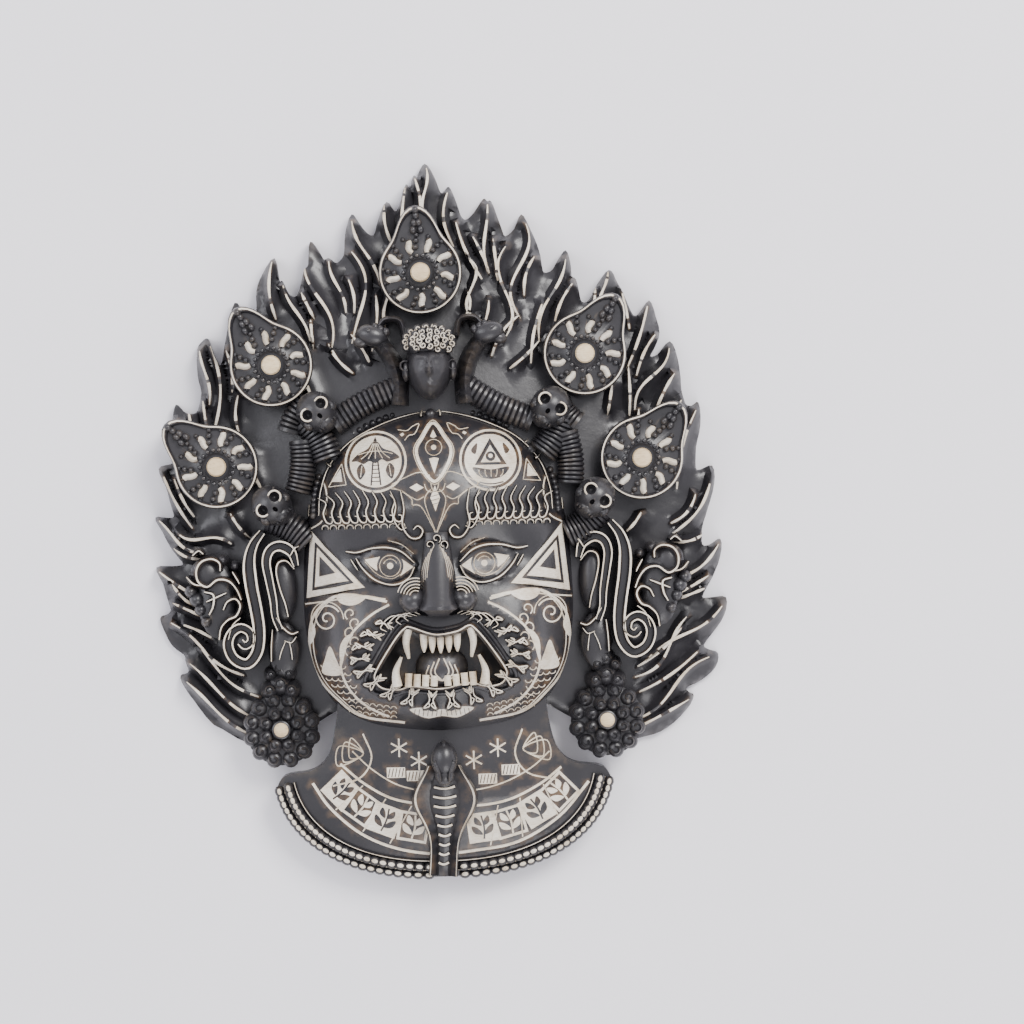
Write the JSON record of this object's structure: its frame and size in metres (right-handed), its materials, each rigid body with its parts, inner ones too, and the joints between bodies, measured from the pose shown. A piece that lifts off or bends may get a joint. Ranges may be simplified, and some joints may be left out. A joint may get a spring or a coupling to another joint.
{
  "type": "ceremonial wall mask",
  "caption": "Wall mask of a wrathful deity cast in one piece: bulging face with open mouth, crown of skulls and leaf medallions, flame border, collar; hollow behind the face.",
  "frame": {"origin": "middle of the flat back, at the centre of the mask's outline", "axes": "+Z out of the face, +Y towards the tip of the flames above the head, +X to the viewer's right; the mask lies on its back"},
  "size_m": [0.2924, 0.3616, 0.0891],
  "materials": {
    "painted_resin": "satin black paint over cast resin, cream resin showing where lines are scraped bare"
  },
  "bodies": {
    "root": {"mask": "painted_resin"}
  },
  "joints": []
}
